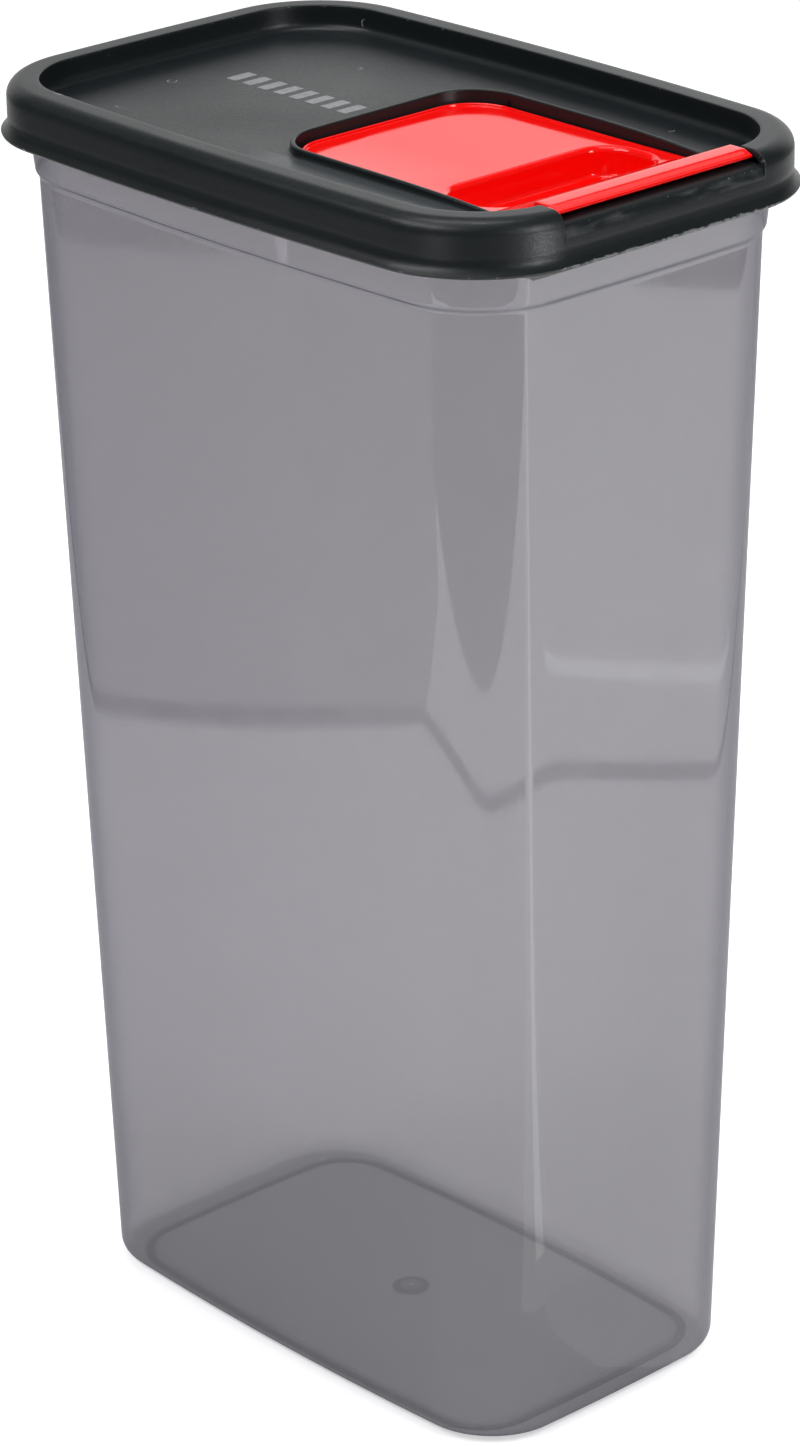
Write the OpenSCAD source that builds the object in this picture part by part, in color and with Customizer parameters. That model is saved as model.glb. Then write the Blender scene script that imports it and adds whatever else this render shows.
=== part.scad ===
// Cereal container with a lift-off lid and a flip-up pouring flap.
// Origin: centre of the resting face. +X towards the pouring side, +Z up. Millimetres.

/* [Container] */
// Length of the container at its base
base_len = 145.6; // [130:1:160]
// Width of the container at its base
base_wid = 87.6; // [80:1:100]
// Corner radius of the walls at the base
base_corner_r = 18; // [14:1:22]
// Extra corner radius that the walls gain by the shoulder
corner_growth = 1; // [0:0.5:3]
// How far each wall leans out between base and shoulder
wall_draft = 6.7; // [4:0.1:9]
// Bulge of the two long walls at their middle
long_bow = 2.8; // [1:0.1:4]
// Bulge of the two short walls at their middle
short_bow = 1; // [0.5:0.1:2]
// Wall thickness
body_wall = 1.8; // [1.4:0.1:2.2]
// Thickness of the base
base_t = 2.2; // [1.8:0.1:3]
// Radius of the edge between the base and the walls
base_edge_r = 3.5; // [2.5:0.5:5]
// Inside radius between the base and the walls
inner_edge_r = 6; // [4:0.5:9]
// Height of the shoulder line
shoulder_z = 278; // [240:1:300]
// Step out at the shoulder line
collar_step = 0.9; // [0.6:0.1:1.4]
// Height of the collar above the shoulder line
collar_h = 17.3; // [15:0.1:22]
// How far the collar leans out between the shoulder and the lid's skirt
collar_lean = 0.8; // [0.4:0.1:1.2]
// Height of the step out at the shoulder line
collar_step_h = 1.1; // [0.8:0.1:1.6]
// Last step out, under the lid's skirt
rim_flare = 1.4; // [0.8:0.1:1.8]
// Height of that last step out
rim_flare_h = 3.5; // [2.5:0.1:4]

/* [Foot ring] */
// Length of the raised ring that the container stands on
foot_len = 130.2; // [110:1:134]
// Width of the ring
foot_wid = 79; // [70:1:80]
// Corner radius of the ring
foot_corner_r = 12.4; // [10:0.2:15]
// Width of the ring's flat underside
foot_w = 1.4; // [1:0.1:2.5]
// Height of the ring
foot_h = 0.8; // [0.5:0.1:1.5]

/* [Lid] */
// Wall thickness of the lid's skirt, ceiling and sill
lid_wall = 1.6; // [1.3:0.1:1.9]
// Thickness of the wall between the recess and the channel
inner_wall = 1.8; // [1.4:0.1:2.2]
// Room between the container's rim and the lid's skirt
skirt_gap = 1.9; // [1.6:0.1:2.4]
// Room between the container's rim and the lid's inner wall
plug_gap = 0.4; // [0.3:0.05:0.5]
// Extra room between the plug wall's foot and the collar
plug_ease = 0.1; // [0:0.05:0.3]
// Room between the container's rim and the lid's stops
seat_gap = 0.3; // [0.2:0.05:0.4]
// Height of the skirt, from the rim's top to its lower edge
skirt_h = 12.2; // [11:0.1:14]
// Radius of the rim's outer top edge
rim_edge_r = 3.6; // [3:0.1:4]
// Radius of the rim's inner top edge
rim_inner_r = 0.5; // [0.3:0.1:0.7]
// How far the skirt's lower edge flares out
flange_w = 1.5; // [1:0.1:2]
// Height of the flare
flange_h = 3.2; // [2.6:0.1:4]
// How far the bead inside the skirt's lower edge stands in
bead_w = 1.4; // [0.8:0.1:1.5]
// Depth of the recessed panel below the rim
recess_depth = 6; // [5:0.1:7]
// Fillet around the recessed panel
recess_fillet = 2; // [1:0.1:3]
// Thickness of the panel
panel_t = 1.8; // [1.5:0.1:2.2]
// How far the plug wall reaches below the panel
plug_h = 5.4; // [4.5:0.1:6]
// Thickness of the plug wall
plug_t = 1.3; // [1.1:0.1:1.6]
// Depth of the notch in the rim that the flap's tab lies in
notch_depth = 2.8; // [2.4:0.1:3.2]
// Radius of the outer edge of the sill in the notch
sill_edge_r = 2.8; // [2.4:0.1:3.2]
// Thickness of the stops in the channel
stop_t = 1.4; // [1:0.1:2]

/* [Flap well] */
// Length of the well, from its front wall to its rear wall
well_len = 85.7; // [78:0.5:92]
// Width of the well
well_wid = 59.2; // [54:0.2:64]
// Radius of the well's rear corners
well_r = 12; // [10:0.5:13]
// Wall thickness of the well
well_wall = 1.6; // [1.3:0.1:1.8]
// Distance from the rim's inner face back to the well's front wall
well_inset = 1; // [0.9:0.1:1.3]
// Thickness of the well's front wall
well_front_wall = 0.65; // [0.6:0.05:0.7]
// Height of the raised lip around the well, at its rear
lip_h = 2.1; // [1.5:0.1:3]
// Height of the lip beside the tab
lip_front_h = 0.2; // [0.1:0.1:1]
// Distance from the well's front wall to where the lip is at its lowest
lip_low_x = 18; // [12:1:24]
// Thickness of the lip
lip_t = 1.9; // [1.7:0.1:2.4]
// Bevel of the lip's edges
lip_bevel = 0.5; // [0.3:0.1:0.8]
// Gap between the trough of the flap and the floor of the well
floor_gap = 0.8; // [0.5:0.1:1.5]
// Length of the pouring hole
pour_len = 52.8; // [44:0.2:54]
// Width of the pouring hole
pour_wid = 44; // [36:0.5:50]
// Corner radius of the pouring hole
pour_r = 8; // [5:0.5:12]
// Distance from the well's front wall to the pouring hole
pour_front = 5.6; // [5:0.1:8]

/* [Hinge] */
// Distance from the well's rear wall to the hinge pins
hinge_back = 14.1; // [12:0.1:16]
// Depth of the hinge pins below the panel
hinge_drop = 3; // [3:0.1:3.4]
// Radius of the hinge pins
pin_r = 1.5; // [1.2:0.1:1.7]
// Radial clearance of the pins in their sockets
pin_gap = 0.05; // [0.02:0.01:0.1]
// Length of the pins beyond the flap's sides
pin_len = 2.4; // [2:0.1:2.6]
// Clearance at the pins' ends
pin_end_gap = 0.4; // [0.3:0.1:0.6]
// Wall around the sockets
socket_wall = 1.4; // [1.2:0.1:1.8]
// How far the flap opens
open_angle = 100; // [90:1:100]

/* [Flap] */
// Gap between the flap and the well at the sides
flap_side_gap = 0.55; // [0.5:0.05:0.65]
// Gap between the flap and the well at the rear
flap_rear_gap = 0.8; // [0.7:0.05:1]
// Gap between the flap and the well at the front
flap_front_gap = 0.6; // [0.5:0.05:0.9]
// Radius of the flap's rear corners
flap_r = 12.2; // [10.2:0.5:13.2]
// Wall thickness of the flap
flap_wall = 1.3; // [1.1:0.1:1.5]
// Thickness of the tray's floor
flap_floor = 1.5; // [1.2:0.1:1.8]
// How far the tray's edge stands above the lid's panel
tray_edge = 0.4; // [0.2:0.1:0.8]
// Depth of the tray
tray_depth = 2.2; // [1.8:0.1:2.6]
// Fillet around the tray's floor
tray_fillet = 1.8; // [1:0.1:1.8]
// How far the tray's walls reach below its floor
tray_skirt = 1.6; // [1.5:0.1:1.9]
// Thickness of the plug ring under the tray
ring_t = 1.3; // [1.1:0.1:1.6]
// Gap between the plug ring and the pouring hole
ring_gap = 0.4; // [0.35:0.05:0.6]
// How far the plug ring reaches into the pouring hole
ring_reach = 0.8; // [0.4:0.1:1.4]

/* [Finger trough and tab] */
// Width of the finger trough
trough_wid = 16; // [14:0.5:18]
// Length of the finger trough
trough_len = 49.4; // [42:0.2:49.4]
// Depth of the finger trough below the tray's floor
trough_depth = 4.5; // [4.2:0.1:5]
// Distance from the tab's inner face to the trough
trough_front = 20.6; // [18:0.2:24]
// Wall around the finger trough
trough_wall = 1.5; // [1.2:0.1:1.8]
// How much the trough narrows on each side towards its floor
trough_draft = 0.5; // [0.3:0.1:0.8]
// Rounding of the trough's edges
trough_edge_r = 1.2; // [0.8:0.1:1.6]
// Width of the tab's flat top
tab_flat = 4.4; // [3.5:0.1:5]
// Width of the tab, from its inner face to its outer edge
tab_w = 6.9; // [6.4:0.1:7.2]
// Height of the tab's outer edge below the rim's top
tab_edge_drop = 1.2; // [0.9:0.1:1.5]
// Gap between the tab and the sill that it lies over
tab_gap = 0.4; // [0.3:0.1:0.6]
// Gap at each end of the tab
tab_end_gap = 0.6; // [0.4:0.1:0.9]

/* [Hidden] */

// Segments per corner, per long side and per short side of the outlines
corner_steps = 8;
long_steps = 8;
short_steps = 4;
// Segments along each straight side of the well
well_steps = 7;
// Facets of the pins and their sockets
round_fn = 48;
// Reach of a cutter past the face that it cuts
past = 1;

// Heights
floor_z = foot_h + base_t;
body_h = shoulder_z + collar_h;
sill_z = body_h + seat_gap + lid_wall;
lid_top = sill_z + notch_depth;
skirt_z = lid_top - skirt_h;
panel_z = lid_top - recess_depth;
panel_under = panel_z - panel_t;
plug_z = panel_under - plug_h;
tray_top = panel_z + tray_edge;
tray_z = tray_top - tray_depth;
tray_under = tray_z - flap_floor;
trough_z = tray_z - trough_depth;
trough_under = trough_z - flap_floor;
well_floor = trough_under - floor_gap;
well_under = well_floor - well_wall;

// Half sizes of the container's walls at the base, of its rim and of the lid's skirt
base_a = base_len / 2;
base_b = base_wid / 2;
rim_out = collar_step + collar_lean + rim_flare;
rim_a = base_a + wall_draft + rim_out;
rim_b = base_b + wall_draft + rim_out;
lid_out = skirt_gap + lid_wall;
lid_a = rim_a + lid_out;
lid_b = rim_b + lid_out;
lid_r = base_corner_r + corner_growth + rim_out + lid_out;
// Width of the lid's rim, from the skirt to the recess
rim_w = lid_out + body_wall + plug_gap + inner_wall;

// Well, hinge and flap along X
well_front = lid_a - rim_w - well_inset;
well_rear = well_front - well_len;
well_half = well_wid / 2;
hinge_x = well_rear + hinge_back;
hinge_z = panel_z - hinge_drop;
flap_rear = well_rear + flap_rear_gap;
flap_front = well_front - flap_front_gap;
flap_half = well_half - flap_side_gap;
socket_end = flap_half + pin_len + pin_end_gap;
tab_inner = flap_front - flap_wall;
notch_half = flap_half + tab_end_gap;
pour_x1 = well_front - pour_front;
pour_x0 = pour_x1 - pour_len;

// The basin that the flap's rear end swings down into, in front of its rear wall
swing_r = norm([hinge_x - flap_rear, tray_top - hinge_z]);
flap_below = hinge_z - tray_under + tray_skirt;
basin_floor = hinge_z - swing_r - flap_rear_gap;
basin_front = hinge_x + flap_below + swing_r * sin(open_angle - 90) + 2 * flap_rear_gap;

// ---- Outlines ----

// Corner q of a rounded rectangle, as an arc
function corner(a, b, r, q) = [for (i = [0:corner_steps])
    let (t = 90 * q + 90 * i / corner_steps,
         sx = (q == 0 || q == 3) ? 1 : -1,
         sy = q < 2 ? 1 : -1)
    [sx * (a - r) + r * cos(t), sy * (b - r) + r * sin(t)]];

// Points between p and q, both left out
function between(p, q, steps) = [for (i = [1:1:steps - 1]) p + (q - p) * i / steps];

// Rounded rectangle of half sizes a and b
function rounded(a, b, r) = let (c = [for (q = [0:3]) corner(a, b, r, q)])
    [for (q = [0:3]) each concat(c[q],
        between(c[q][corner_steps], c[(q + 1) % 4][0], q % 2 == 0 ? long_steps : short_steps))];

// The same with bulging sides: a and b are reached at the middle of the sides
function bowed(a, b, r) = let (ca = a - short_bow, cb = b - long_bow)
    [for (p = rounded(ca, cb, r))
        [p.x * (1 + short_bow / ca * (1 - pow(p.y / cb, 2))),
         p.y * (1 + long_bow / cb * (1 - pow(p.x / ca, 2)))]];

// Outline with square front corners and round rear corners, for the well and the flap
function tray(x0, x1, half, r) = let (
        rear = [for (s = [1, -1]) [for (i = [0:corner_steps])
            let (t = 90 + (s > 0 ? 0 : 90) + 90 * i / corner_steps)
            [x0 + r + r * cos(t), s * (half - r) + r * sin(t)]]],
        front = [[x1, -half], [x1, half]])
    concat(rear[0], rear[1], between(rear[1][corner_steps], front[0], well_steps), [front[0]],
        [front[1]], between(front[1], rear[0][0], well_steps));

// Slot with round ends, along Y
function slot(cx, half_w, half_l) = [for (s = [1, -1]) each
    [for (i = [0:2 * corner_steps])
        let (t = (s > 0 ? 0 : 180) + 90 * i / corner_steps)
        [cx + half_w * cos(t), s * (half_l - half_w) + half_w * sin(t)]]];

function backwards(list) = [for (i = [len(list) - 1:-1:0]) list[i]];

function at_z(outline, z) = [for (p = outline) [p.x, p.y, z]];

// ---- Skins ----

// Mean of a list of points
function middle(ring) = [for (k = [0:2]) sum([for (p = ring) p[k]]) / len(ring)];
function sum(values) = [for (v = values) 1] * values;

// Closed solid through a stack of outlines that all have as many points, from its underside up.
// Each end is a fan around the middle of its outline.
module skin(rings) {
    n = len(rings[0]);
    last = len(rings) - 1;
    end = n * (last + 1);
    polyhedron(
        points = concat([for (ring = rings) each ring], [middle(rings[0]), middle(rings[last])]),
        faces = [for (i = [0:n - 1]) let (j = (i + 1) % n) each concat(
            [[end, i, j], [end + 1, last * n + j, last * n + i]],
            [for (k = [0:last - 1]) each [
                [k * n + i, (k + 1) * n + i, (k + 1) * n + j],
                [k * n + i, (k + 1) * n + j, k * n + j]]])],
        convexity = 8);
}

// Quarter round from angle 0 to 90 as [across, up] steps of a radius r
function quarter(r, steps) = [for (i = [0:steps])
    let (t = 90 * i / steps) r * [sin(t), 1 - cos(t)]];

// ---- Container ----

// Container wall outline at height z, moved out by o
function wall_ring(o, z) = let (t = min(z, shoulder_z) / shoulder_z)
    at_z(bowed(base_a + wall_draft * t + o, base_b + wall_draft * t + o,
        base_corner_r + corner_growth * t + o), z);

// Foot ring outline, moved out by o
function foot_ring(o, z) =
    at_z(bowed(foot_len / 2 + o, foot_wid / 2 + o, foot_corner_r + o), z);

module container_body() {
    slope = foot_h / 2;
    lean = collar_step + collar_lean;
    flare_z = skirt_z + rim_flare_h;
    top_r = body_wall / 2;
    outside = concat(
        [foot_ring(-foot_w - slope, foot_h), foot_ring(-foot_w, 0)],
        [foot_ring(0, 0), foot_ring(slope, foot_h)],
        [for (q = quarter(base_edge_r, 5)) wall_ring(q[0] - base_edge_r, foot_h + q[1])],
        [wall_ring(0, shoulder_z), wall_ring(collar_step, shoulder_z + collar_step_h)],
        [wall_ring(lean, skirt_z), wall_ring(rim_out, flare_z)]);
    rim = [for (i = [0:6]) let (t = 30 * i)
        wall_ring(rim_out - top_r + top_r * cos(t), body_h - top_r + top_r * sin(t))];
    inside = concat(
        [wall_ring(rim_out - body_wall, flare_z), wall_ring(lean - body_wall, skirt_z)],
        [wall_ring(collar_step - body_wall, shoulder_z + collar_step_h)],
        [wall_ring(-body_wall, shoulder_z - collar_step_h)],
        [for (q = quarter(inner_edge_r, 5))
            wall_ring(-body_wall - q[1], floor_z + inner_edge_r - q[0])]);
    color([0.45, 0.43, 0.47, 0.75]) skin(concat(outside, rim, inside));
}

// ---- Lid ----

// Lid outline moved out by o from the skirt's outer face
function lid_ring(o, z) = at_z(bowed(lid_a + o, lid_b + o, lid_r + o), z);

// Rim, skirt, channel, plug wall and panel as one skin, from the panel's top to its underside
module lid_shell() {
    channel_r = rim_edge_r - lid_wall;
    channel_top = lid_top - lid_wall;
    // Inner face of the channel, and the plug wall that follows the container's leaning collar
    channel_in = inner_wall - rim_w;
    lean_in = rim_flare + plug_ease;
    edge_t = 0.6;
    recess = concat(
        [for (q = quarter(recess_fillet, 3))
            lid_ring(-rim_w - recess_fillet + q[0], panel_z + q[1])],
        [for (q = quarter(rim_inner_r, 2)) lid_ring(-rim_w + q[1], lid_top - rim_inner_r + q[0])]);
    rim = [for (i = [0:6]) let (t = 15 * i)
        lid_ring(rim_edge_r * (sin(t) - 1), lid_top - rim_edge_r * (1 - cos(t)))];
    flare = concat(
        [for (i = [0:4]) let (t = i / 4)
            lid_ring(flange_w * t * t, skirt_z + edge_t + (flange_h - edge_t) * (1 - t))],
        [lid_ring(flange_w, skirt_z)]);
    bead = [lid_ring(-lid_wall - bead_w, skirt_z), lid_ring(-lid_wall - bead_w, skirt_z + edge_t),
        lid_ring(-lid_wall, skirt_z + edge_t + bead_w)];
    channel = concat(
        [for (q = quarter(channel_r, 3))
            lid_ring(-lid_wall - q[1], channel_top - channel_r + q[0])],
        [lid_ring(channel_in, channel_top)]);
    plug = [lid_ring(channel_in, panel_z), lid_ring(channel_in - lean_in, plug_z + edge_t),
        lid_ring(channel_in - lean_in - edge_t / 2, plug_z),
        lid_ring(channel_in - lean_in - plug_t, plug_z),
        lid_ring(channel_in - lean_in - plug_t, panel_under - edge_t),
        lid_ring(channel_in - lean_in - plug_t - edge_t, panel_under)];
    skin(backwards(concat(recess, rim, flare, bead, channel, plug)));
}

// Height of the lip's top along X: level at the rear, falling towards the tab
function lip_z(x) = let (x0 = hinge_x, x1 = well_front - lip_low_x,
        t = min(1, max(0, (x - x0) / (x1 - x0))))
    panel_z + lip_h + (lip_front_h - lip_h) * t;

function well_outline(o) =
    tray(well_rear - o, well_front + min(o, well_front_wall), well_half + o, well_r + o);

// Lip ring: the well's outline moved out by o, drop below the lip's top
function lip_ring(o, drop) = [for (p = well_outline(o))
    let (top = lip_z(p.x)) [p.x, p.y, top - drop * min(1, top - panel_z)]];

module well_blocks() {
    // Walls and floor
    translate([0, 0, well_under])
        linear_extrude(height = panel_z - panel_t / 2 - well_under)
            polygon(well_outline(well_wall));
    // Raised lip
    skin([at_z(well_outline(lip_t), panel_z - panel_t / 2), lip_ring(lip_t, lip_bevel),
        lip_ring(lip_t - lip_bevel, 0)]);
    // Basin
    translate([0, 0, basin_floor - well_wall])
        linear_extrude(height = well_floor - basin_floor + well_wall / 2)
            polygon(tray(well_rear - well_wall, basin_front + well_wall,
                well_half + well_wall, well_r + well_wall));
    // Socket bosses
    for (s = [-1, 1]) translate([hinge_x, s * well_half, hinge_z]) rotate([-90 * s, 0, 0])
        cylinder(r = pin_r + socket_wall, h = socket_end + socket_wall - well_half, $fn = round_fn);
}

module well_void() {
    skin([at_z(well_outline(0), well_floor), lip_ring(0, lip_bevel), lip_ring(lip_bevel, 0),
        at_z(well_outline(lip_bevel), lid_top + past)]);
    translate([0, 0, basin_floor])
        linear_extrude(height = well_floor - basin_floor + past)
            polygon(tray(well_rear, basin_front, well_half, well_r));
    translate([0, 0, well_under - past]) pour_shape(0, well_wall + 2 * past);
    translate([hinge_x, 0, hinge_z]) rotate([90, 0, 0])
        cylinder(r = pin_r + pin_gap, h = 2 * socket_end, center = true, $fn = round_fn);
}

// Prism with the outline of the pouring hole moved out by o
module pour_shape(o, h) {
    translate([(pour_x0 + pour_x1) / 2, 0, 0]) linear_extrude(height = h)
        polygon(rounded(pour_len / 2 + o, pour_wid / 2 + o, pour_r + o));
}

// Section in the XZ plane, swept along Y to both sides
module along_y(half, section) {
    rotate([90, 0, 0]) linear_extrude(height = 2 * half, center = true) polygon(section);
}

// Arc of the sill's outer edge, that ends just outside the skirt's face
sill_proud = 0.1;
function sill_arc(r) = [for (i = [0:6]) let (t = 15 * i)
    [lid_a + sill_proud - r + r * sin(t), sill_z - r + r * cos(t)]];

module notch_fill() {
    x0 = lid_a - rim_w + inner_wall / 2;
    x1 = lid_a - lid_wall / 2;
    along_y(notch_half + lid_wall, [[x0, sill_z - lid_wall], [x1, sill_z - lid_wall], [x1, sill_z],
        [x1 - lid_wall, lid_top - lid_wall / 2], [x0, lid_top - lid_wall / 2]]);
}

module notch_void() {
    x0 = well_front;
    x1 = lid_a + 2 * flange_w;
    along_y(notch_half, concat([[x1, lid_top + past], [x0, lid_top + past], [x0, sill_z]],
        sill_arc(sill_edge_r), [[x1, sill_z - sill_edge_r]]));
}

// Stops in the channel that the container's rim meets, as [x, y, turn]
function stop_places() = let (m = rim_w - inner_wall / 2, c = lid_a / 2) [
    for (x = [-c, 0, c], s = [-1, 1])
        [x, s * (lid_b - long_bow * pow(x / lid_a, 2)), 90 * s],
    for (s = [-1, 1]) [-lid_a + short_bow * pow(lid_b / 3 / lid_b, 2), s * lid_b / 3, 180]];

module stops() {
    reach = rim_w - inner_wall / 2 - lid_wall / 2;
    h = lid_top - lid_wall / 2 - body_h - seat_gap;
    for (p = stop_places()) translate([p.x, p.y, body_h + seat_gap]) rotate([0, 0, p[2]])
        translate([-reach - lid_wall / 2, -stop_t / 2, 0]) cube([reach - lid_wall, stop_t, h]);
}

module lid() {
    color([0.17, 0.18, 0.19]) difference() {
        union() {
            lid_shell();
            notch_fill();
            stops();
            well_blocks();
        }
        well_void();
        notch_void();
    }
}

// ---- Flap ----

function flap_outline(o) = tray(flap_rear - o, flap_front + o, flap_half + o, flap_r + o);

// Tray shell, open above and hollow below
module tray_shell() {
    in = -flap_wall;
    difference() {
        translate([0, 0, tray_under - tray_skirt])
            linear_extrude(height = tray_top - tray_under + tray_skirt)
                polygon(flap_outline(0));
        skin(concat(
            [for (q = quarter(tray_fillet, 3))
                at_z(flap_outline(in - tray_fillet + q[0]), tray_z + q[1])],
            [at_z(flap_outline(in), tray_top + past)]));
        translate([0, 0, tray_under - tray_skirt - past])
            linear_extrude(height = tray_skirt + past)
                polygon(flap_outline(in));
    }
}

trough_x = tab_inner - trough_front - trough_wid / 2;
function trough_outline(o) = slot(trough_x, trough_wid / 2 + o, trough_len / 2 + o);

module trough_void() {
    skin(concat(
        [for (q = quarter(trough_edge_r, 3))
            at_z(trough_outline(q[0] - trough_edge_r - trough_draft), trough_z + q[1])],
        [for (q = quarter(trough_edge_r, 3))
            at_z(trough_outline(q[1]), tray_z - trough_edge_r + q[0])],
        [at_z(trough_outline(trough_edge_r), tray_top + past)]));
}

// Tab: front wall of the flap and the bar that lies in the rim's notch
module tab() {
    skirt_end = tray_under - tray_skirt;
    edge = 0.4;
    flat_end = tab_inner + edge + tab_flat;
    outer = tab_inner + tab_w;
    edge_z = lid_top - tab_edge_drop;
    bar_z = sill_z + tab_gap;
    along_y(flap_half, [[tab_inner, skirt_end], [tab_inner, lid_top - edge],
        [tab_inner + edge, lid_top], [flat_end, lid_top], [outer - edge, edge_z + 1.2 * edge],
        [outer, edge_z], [outer - edge, edge_z - edge], [flat_end, bar_z],
        [flap_front, bar_z], [flap_front, skirt_end]]);
}

module pouring_flap() {
    color([0.85, 0.06, 0.05]) difference() {
        union() {
            tray_shell();
            tab();
            translate([0, 0, trough_under])
                linear_extrude(height = tray_z - trough_under - flap_floor / 2)
                    polygon(trough_outline(trough_wall));
            difference() {
                translate([0, 0, well_floor - ring_reach])
                    pour_shape(-ring_gap, tray_z - flap_floor / 2 - well_floor + ring_reach);
                translate([0, 0, well_floor - ring_reach - past])
                    pour_shape(-ring_gap - ring_t, tray_under - well_floor + ring_reach + past);
            }
            for (s = [-1, 1]) translate([hinge_x, s * (flap_half - flap_wall / 2), hinge_z])
                rotate([-90 * s, 0, 0])
                    cylinder(r = pin_r, h = pin_len + flap_wall / 2, $fn = round_fn);
        }
        trough_void();
    }
}

container_body();
lid();
pouring_flap();
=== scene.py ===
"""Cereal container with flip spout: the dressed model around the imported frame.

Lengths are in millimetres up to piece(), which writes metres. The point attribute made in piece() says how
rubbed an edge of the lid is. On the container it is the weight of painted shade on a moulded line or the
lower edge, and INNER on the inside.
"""
import math

import bmesh
import bpy
import numpy as np
from mathutils import Matrix, Vector
from mathutils.geometry import delaunay_2d_cdt


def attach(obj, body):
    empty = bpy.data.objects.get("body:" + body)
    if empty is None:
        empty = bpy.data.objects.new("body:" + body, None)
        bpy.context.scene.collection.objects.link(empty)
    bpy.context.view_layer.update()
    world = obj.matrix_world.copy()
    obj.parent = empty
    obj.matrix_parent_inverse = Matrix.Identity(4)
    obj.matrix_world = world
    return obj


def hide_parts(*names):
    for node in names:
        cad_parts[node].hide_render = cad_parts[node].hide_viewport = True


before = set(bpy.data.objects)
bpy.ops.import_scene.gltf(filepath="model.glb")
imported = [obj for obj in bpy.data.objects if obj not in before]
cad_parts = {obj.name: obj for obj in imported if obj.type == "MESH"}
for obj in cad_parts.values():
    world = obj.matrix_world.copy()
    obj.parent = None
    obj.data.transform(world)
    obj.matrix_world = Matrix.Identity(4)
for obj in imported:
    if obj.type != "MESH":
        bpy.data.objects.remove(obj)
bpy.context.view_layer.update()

# ---------------------------------------------------------------- sizes
MM = 0.001
# Container: half sizes and corner radius at the base, and how they grow up to the shoulder
LONG_BOW, SHORT_BOW = 2.8, 1.0
BASE_A, BASE_B, BASE_R = 72.8, 43.8, 18.0
DRAFT, CORNER_GROWTH = 6.7, 1.0
WALL, SHOULDER = 1.8, 278.0
# Collar above the shoulder line: its step, how far it leans out, and the flare under the rim
STEP, STEP_H, LEAN, FLARE, FLARE_H = 0.9, 1.1, 0.8, 1.4, 3.5
BODY_TOP = 295.3
# Base: the foot ring, held just off the stage's floor, the rounded edges and the gate mark
FOOT_A, FOOT_B, FOOT_R, FOOT_H, FOOT_W = 65.1, 39.5, 12.4, 0.8, 1.4
FOOT_CLEAR = 0.03
FLOOR = 3.0
BASE_EDGE, BASE_INSIDE = 3.5, 6.0
GATE_R, STUB_R = 4.3, 1.1
# Painted shade on the base's underside, and the mark for the inside surfaces
UNDER_SHADE, INNER = 0.15, -1.0

# Lid: half sizes and corner radius of its outline, heights, and the rim
LID_A, LID_B, LID_R = 86.1, 57.1, 25.6
TOP, PANEL, SILL, SKIRT = 300.0, 294.0, 297.2, 287.8
UNDER = PANEL - 1.8
PLUG = 286.8
RIM_W, FILLET, EDGE, RIM_INSIDE = 7.5, 2.0, 3.6, 0.3
SKIRT_FLARE, SKIRT_TIP = 291.2, 0.7
NOTCH = 29.7
STOP_T, STOP_Z0, STOP_Z1 = 0.7, 295.6, 299.0
STOPS_X, STOPS_Y = (-43.0, 0.0, 43.0), 19.0

# The flap's well, the lip round it and the basin under the flap's rear end
WELL_X0, WELL_X1, WELL_B, WELL_R = -5.7, 77.6, 30.0, 11.5
LIP_H, LIP_W, LIP_IN, LIP_OUT, LIP_FOOT = 2.6, 1.2, 0.4, 0.55, 0.9
LIP_LEAN, LIP_END, LIP_FALL, LIP_LOW = 0.009, 78.1, 22.0, 0.25
WELL_FLOOR, WELL_WALL = 285.4, 1.6
BASIN_FLOOR, BASIN_X = 276.47, 13.05
BASIN_R, BASIN_OUT_R = 1.5, 3.0
HINGE_X, HINGE_Z, PIN_R, PIN_END = 6.0, 291.0, 1.5, 31.5
PIN_PLAY, BOSS_R = 0.05, 2.9
BOSS_Y, BORE_Y = (30.4, 33.3), (28.0, 31.9)
POUR_X, POUR_A, POUR_B, POUR_R = 45.6, 26.4, 22.0, 8.0

# Flap
FLAP_X0, FLAP_X1, FLAP_B, FLAP_R = -4.8, 77.0, 29.25, 11.4
TRAY_TOP, TRAY, TRAY_UNDER, TRAY_SKIRT = 294.1, 293.45, 291.6, 289.1
TRAY_RISE = 0.008
SWEEP_X, SWEEP_B = 60.5, 27.4
FLAP_WALL, COVE = 0.75, 0.3
TROUGH_X, TROUGH_W, TROUGH_L, TROUGH_R = 51.0, 9.6, 25.6, 7.6
TROUGH, TROUGH_UNDER = 287.0, 285.8
TROUGH_EDGE, TROUGH_FOOT, TROUGH_LEAN = 1.4, 1.3, 0.45
TAB_X, TAB_FRONT, TAB_ROUND, TAB_END = 75.7, 77.03, 0.5, 0.45

# Row of printed bars on the panel
BARS, BAR_PITCH, BAR_X, BAR_Y = 8, 5.4, -54.9, 3.1
BAR_A, BAR_B, BAR_R = 1.6, 3.4, 0.35
PRINT_UP, PRINT_DOWN = 0.03, 0.05


# ---------------------------------------------------------------- outlines
def arc(cx, cy, r, t0, t1, n):
    """n + 1 points on an arc, in degrees."""
    t = np.radians(np.linspace(t0, t1, n + 1))
    return np.stack([cx + r * np.cos(t), cy + r * np.sin(t)], 1)


def bow(p, ca, cb):
    """Bulges the straight sides of an outline whose half sizes are ca and cb."""
    x, y = p[:, 0], p[:, 1]
    return np.stack([x * (1 + SHORT_BOW / ca * (1 - (y / cb) ** 2)),
                     y * (1 + LONG_BOW / cb * (1 - (x / ca) ** 2))], 1)


def joined(parts):
    """Closed outline from arcs and the straight runs between them, given as (arc, steps to the next)."""
    out = []
    for k, (pts, steps) in enumerate(parts):
        nxt = parts[(k + 1) % len(parts)][0][0]
        run = [pts[-1] + (nxt - pts[-1]) * i / steps for i in range(1, steps)]
        out += list(pts) + run
    return np.array(out)


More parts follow.
